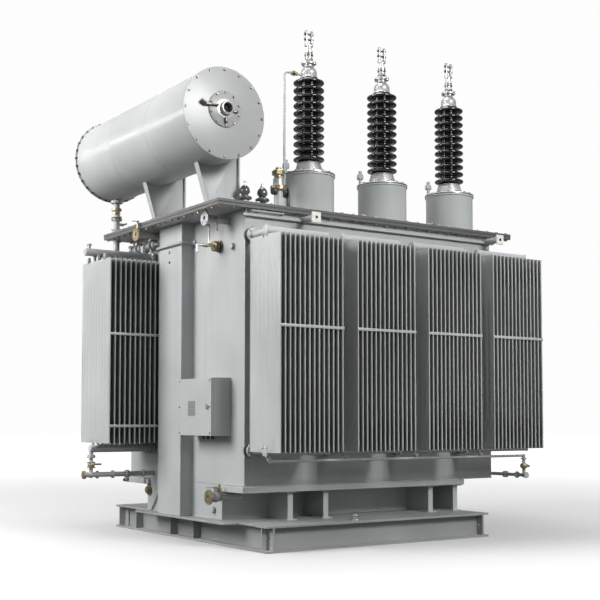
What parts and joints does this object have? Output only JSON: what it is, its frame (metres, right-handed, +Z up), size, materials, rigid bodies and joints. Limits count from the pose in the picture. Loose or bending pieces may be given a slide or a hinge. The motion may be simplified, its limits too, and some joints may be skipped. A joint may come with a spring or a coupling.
{
  "type": "pad-mounted transformer",
  "caption": "Oil-immersed three-phase power transformer on a steel skid, with finned radiators, a drum conservator, tall bushings, valves and a hinged control box.",
  "frame": {"origin": "middle of the skid's underside, on the flat face of the middle cross beam", "axes": "+Z up, +X along the tank's long side, -Y towards the bank of four front radiators"},
  "size_m": [3.881, 3.464, 4.89],
  "materials": {
    "tank_paint": "satin light grey enamel",
    "bare_zinc": "galvanised",
    "gasket_rubber": "matt black nitrile",
    "yellow_zinc": "yellow passivated zinc and brass",
    "cast_aluminium": "cast and machined",
    "gauge_glass": "dark glass",
    "black_glaze": "black glazed porcelain",
    "grey_glaze": "dark grey glazed porcelain",
    "plate_grey": "blank etched plate",
    "terminal_plastic": "moulded",
    "core_steel": "stacked silicon steel",
    "winding_copper": "enamelled copper",
    "winding_paper": "oiled kraft paper wrapping"
  },
  "bodies": {
    "transformer": {"skid_long_rails": "tank_paint", "skid_cross_rails": "tank_paint", "skid_ledge": "tank_paint", "earth_stud": "bare_zinc", "tank_shell": "tank_paint", "tank_stiffeners": "tank_paint", "end_columns": "tank_paint", "tank_posts": "tank_paint", "tank_rim": "tank_paint", "cover_gasket": "gasket_rubber", "cover_plate": "tank_paint", "cover_bolts": "yellow_zinc", "front_radiator_1": "tank_paint", "front_radiator_2": "tank_paint", "front_radiator_3": "tank_paint", "front_radiator_4": "tank_paint", "rear_radiators": "tank_paint", "front_radiator_valves": "tank_paint", "rear_radiator_valves": "tank_paint", "end_radiator": "tank_paint", "drain_valve": "yellow_zinc", "filter_valve": "tank_paint", "throttle_valve": "yellow_zinc", "sampling_tap": "yellow_zinc", "left_manifold": "tank_paint", "right_manifold": "tank_paint", "conservator_drum": "tank_paint", "conservator_covers": "tank_paint", "gauge_port": "cast_aluminium", "gauge_window": "gauge_glass", "conservator_saddles": "tank_paint", "feed_pipe": "tank_paint", "turrets": "tank_paint", "bushing_flanges": "cast_aluminium", "hv_porcelain_1": "black_glaze", "hv_porcelain_2": "black_glaze", "hv_porcelain_3": "black_glaze", "hv_terminal_1": "cast_aluminium", "hv_terminal_2": "cast_aluminium", "hv_terminal_3": "cast_aluminium", "lv_bushings": "grey_glaze", "relief_valve": "yellow_zinc", "vent_pipe": "tank_paint", "lifting_trunnions": "tank_paint", "control_box": "tank_paint", "box_terminals": "terminal_plastic", "core": "core_steel", "lv_windings": "winding_copper", "hv_windings": "winding_paper", "hv_leads": "winding_paper"},
    "door": {"control_box_door": "tank_paint", "rating_plate": "plate_grey"},
    "latch": {"door_latch": "bare_zinc"},
    "drain_lever": {"drain_valve_lever": "yellow_zinc"},
    "filter_lever": {"filter_valve_lever": "yellow_zinc"},
    "throttle_lever": {"throttle_valve_lever": "yellow_zinc"},
    "tap_lever": {"sampling_tap_lever": "yellow_zinc"},
    "left_drain_lever": {"left_manifold_lever": "yellow_zinc"},
    "right_drain_lever": {"right_manifold_lever": "yellow_zinc"},
    "feed_lever": {"feed_valve_lever": "yellow_zinc"}
  },
  "joints": [
    {"name": "box_door_hinge", "type": "hinge", "parent": "transformer", "child": "door", "pos_m": [-1.444, -0.271, 1.225], "axis": [0, 0, -1], "range_deg": [0, 120]},
    {"name": "door_latch_turn", "type": "hinge", "parent": "door", "child": "latch", "pos_m": [-1.454, -0.83, 1.225], "axis": [-1, 0, 0], "range_deg": [0, 90]},
    {"name": "drain_lever_turn", "type": "hinge", "parent": "transformer", "child": "drain_lever", "pos_m": [-1.38, -0.85, 0.516], "axis": [0, 0, 1], "range_deg": [0, 90]},
    {"name": "filter_lever_turn", "type": "hinge", "parent": "transformer", "child": "filter_lever", "pos_m": [-1.4, -0.884, 2.878], "axis": [0, -1, 0], "range_deg": [0, 90]},
    {"name": "throttle_lever_turn", "type": "hinge", "parent": "transformer", "child": "throttle_lever", "pos_m": [-1.576, 0.334, 3.006], "axis": [0, 0, 1], "range_deg": [-90, 0]},
    {"name": "tap_lever_turn", "type": "hinge", "parent": "transformer", "child": "tap_lever", "pos_m": [-1.418, -0.738, 2.666], "axis": [0, -1, 0], "range_deg": [0, 90]},
    {"name": "left_drain_lever_turn", "type": "hinge", "parent": "transformer", "child": "left_drain_lever", "pos_m": [-1.917, 0.544, 0.69], "axis": [0, -1, 0], "range_deg": [0, 90]},
    {"name": "right_drain_lever_turn", "type": "hinge", "parent": "transformer", "child": "right_drain_lever", "pos_m": [1.716, -1.54, 0.663], "axis": [0, -1, 0], "range_deg": [-90, 0]},
    {"name": "feed_lever_turn", "type": "hinge", "parent": "transformer", "child": "feed_lever", "pos_m": [-1.394, 1.075, 3.105], "axis": [1, 0, 0], "range_deg": [-90, 0]}
  ]
}
